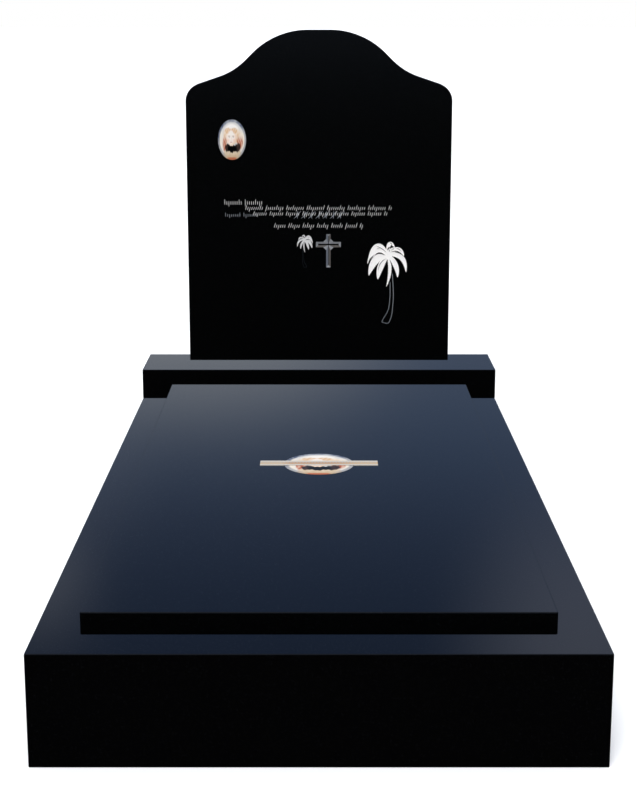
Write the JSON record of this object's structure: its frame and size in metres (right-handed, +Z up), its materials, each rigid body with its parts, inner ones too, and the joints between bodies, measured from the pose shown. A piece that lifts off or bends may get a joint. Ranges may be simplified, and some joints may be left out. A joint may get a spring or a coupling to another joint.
{
  "type": "headstone",
  "caption": "Polished black granite grave monument: base block, ledger slab, plinth and upright serpentine headstone with sunk palms, cross and stroke rows, oval ceramic portraits.",
  "frame": {"origin": "on the ground under the middle of the base block", "axes": "+Z up; -Y the front, where the low slab lies; +Y the back, where the headstone stands; +X to the right of someone who faces the front"},
  "size_m": [1.2, 2.4, 1.48],
  "materials": {
    "block_granite": "polished near-black granite, fine grained",
    "slab_granite": "polished near-black granite with rounded arrises",
    "stone_granite": "polished near-black granite, carving sunk by sandblasting, part of it painted white",
    "portrait_ceramic": "glazed oval with a fired portrait and a thin blue-grey edge",
    "strip_ceramic": "glazed pale cream with a tan line along its middle"
  },
  "bodies": {
    "root": {"base_block": "block_granite", "ledger_slab": "slab_granite", "headstone_plinth": "block_granite", "headstone": "stone_granite", "headstone_portrait": "portrait_ceramic", "ledger_portrait": "portrait_ceramic", "name_strip": "strip_ceramic"}
  },
  "joints": []
}
